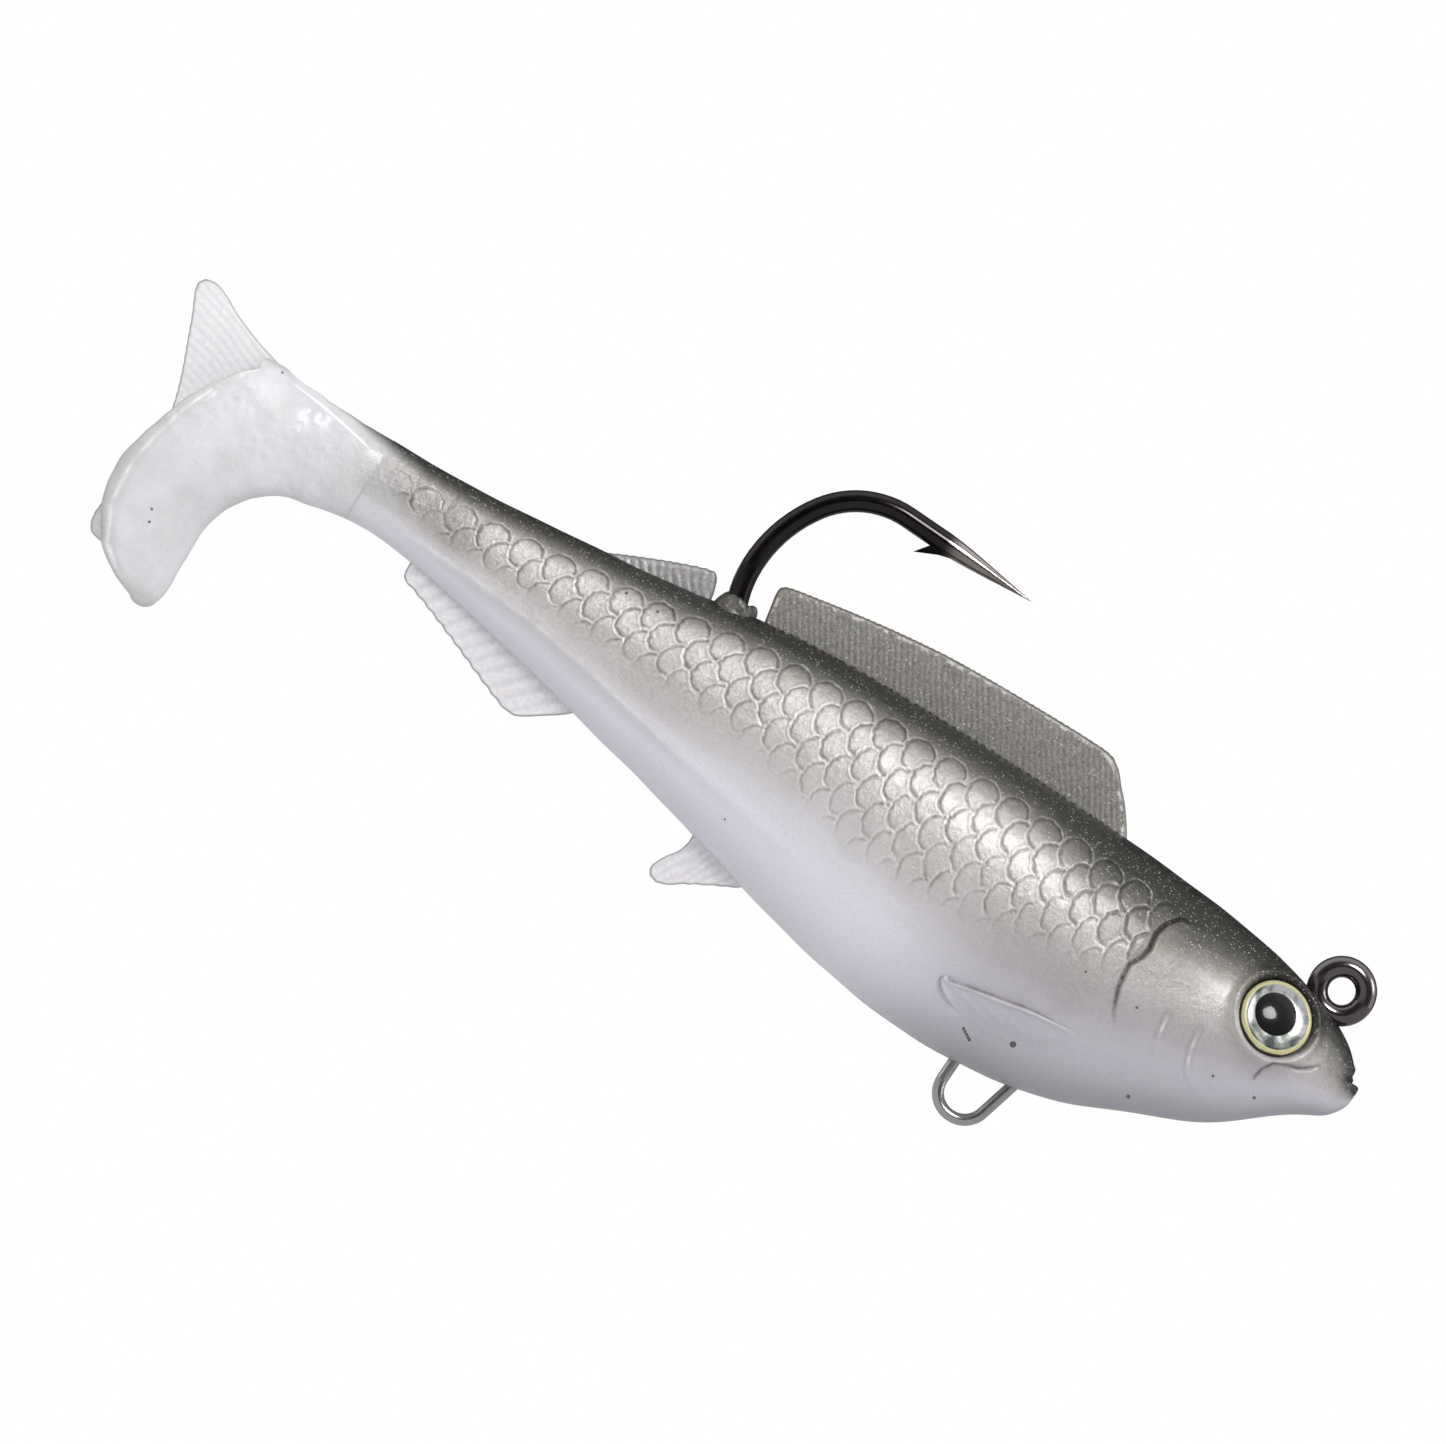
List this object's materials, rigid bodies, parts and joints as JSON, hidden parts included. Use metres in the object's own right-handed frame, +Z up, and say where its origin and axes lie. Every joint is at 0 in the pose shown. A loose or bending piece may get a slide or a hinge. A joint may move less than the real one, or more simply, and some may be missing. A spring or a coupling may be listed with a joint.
{
  "type": "soft paddle-tail swimbait",
  "caption": "Soft fish-shaped lure moulded round a weighted jig hook, with a line ring at the nose, a belly hanger loop, thin fins and a cupped tail paddle that kicks from side to side.",
  "frame": {"origin": "centre of the line-tie ring on the nose", "axes": "+X towards the nose, +Y to the fish's left, +Z up; the fish is mirrored about Y = 0"},
  "size_m": [0.1267, 0.018, 0.0452],
  "materials": {
    "black_nickel": "dark polished plating",
    "cast_lead": "dull cast metal",
    "nickel_wire": "bright wire",
    "soft_body": "glossy soft plastic with glitter",
    "soft_tail": "glossy translucent soft plastic",
    "soft_fin": "glossy translucent soft plastic",
    "eye_foil": "prismatic foil",
    "eye_print": "gloss black print",
    "eye_dome": "clear domed resin"
  },
  "bodies": {
    "front": {"fore_body": "soft_body", "jig_hook": "black_nickel", "lead_weight": "cast_lead", "belly_hanger": "nickel_wire", "hook_collar": "soft_body", "left_pectoral_fin": "soft_fin", "right_pectoral_fin": "soft_fin", "left_eye_foil": "eye_foil", "right_eye_foil": "eye_foil", "left_eye_pupil": "eye_print", "right_eye_pupil": "eye_print", "left_eye_lens": "eye_dome", "right_eye_lens": "eye_dome"},
    "rear": {"rear_body": "soft_body", "rear_dorsal_fin": "soft_fin"},
    "stalk": {"tail_stalk": "soft_body"},
    "tail": {"tail_paddle": "soft_tail", "caudal_fin": "soft_fin"},
    "dorsal": {"dorsal_fin": "soft_fin"},
    "anal": {"anal_fin": "soft_fin"},
    "pelvic": {"pelvic_fin": "soft_fin"}
  },
  "joints": [
    {"name": "rear_body_flex", "type": "hinge", "parent": "front", "child": "rear", "pos_m": [-0.0695, 0, 0], "axis": [0, 0, 1], "range_deg": [-12, 12], "stiffness_Nm_per_rad": 0.01},
    {"name": "tail_stalk_flex", "type": "hinge", "parent": "rear", "child": "stalk", "pos_m": [-0.0935, 0, 0], "axis": [0, 0, 1], "range_deg": [-25, 25], "stiffness_Nm_per_rad": 0.002},
    {"name": "tail_kick", "type": "hinge", "parent": "stalk", "child": "tail", "pos_m": [-0.1035, 0, 0], "axis": [0, 0, 1], "range_deg": [-40, 40], "stiffness_Nm_per_rad": 0.0008},
    {"name": "dorsal_fin_fold", "type": "hinge", "parent": "front", "child": "dorsal", "pos_m": [-0.043, 0, 0.00222], "axis": [1, 0, 0.0092], "range_deg": [-35, 35], "stiffness_Nm_per_rad": 0.00005},
    {"name": "anal_fin_fold", "type": "hinge", "parent": "rear", "child": "anal", "pos_m": [-0.0819, 0, -0.01427], "axis": [0.982, 0, -0.1887], "range_deg": [-35, 35], "stiffness_Nm_per_rad": 0.00001},
    {"name": "pelvic_fin_fold", "type": "hinge", "parent": "front", "child": "pelvic", "pos_m": [-0.0539, 0, -0.0205], "axis": [0.9701, 0, -0.2425], "range_deg": [-35, 35], "stiffness_Nm_per_rad": 0.000005}
  ]
}
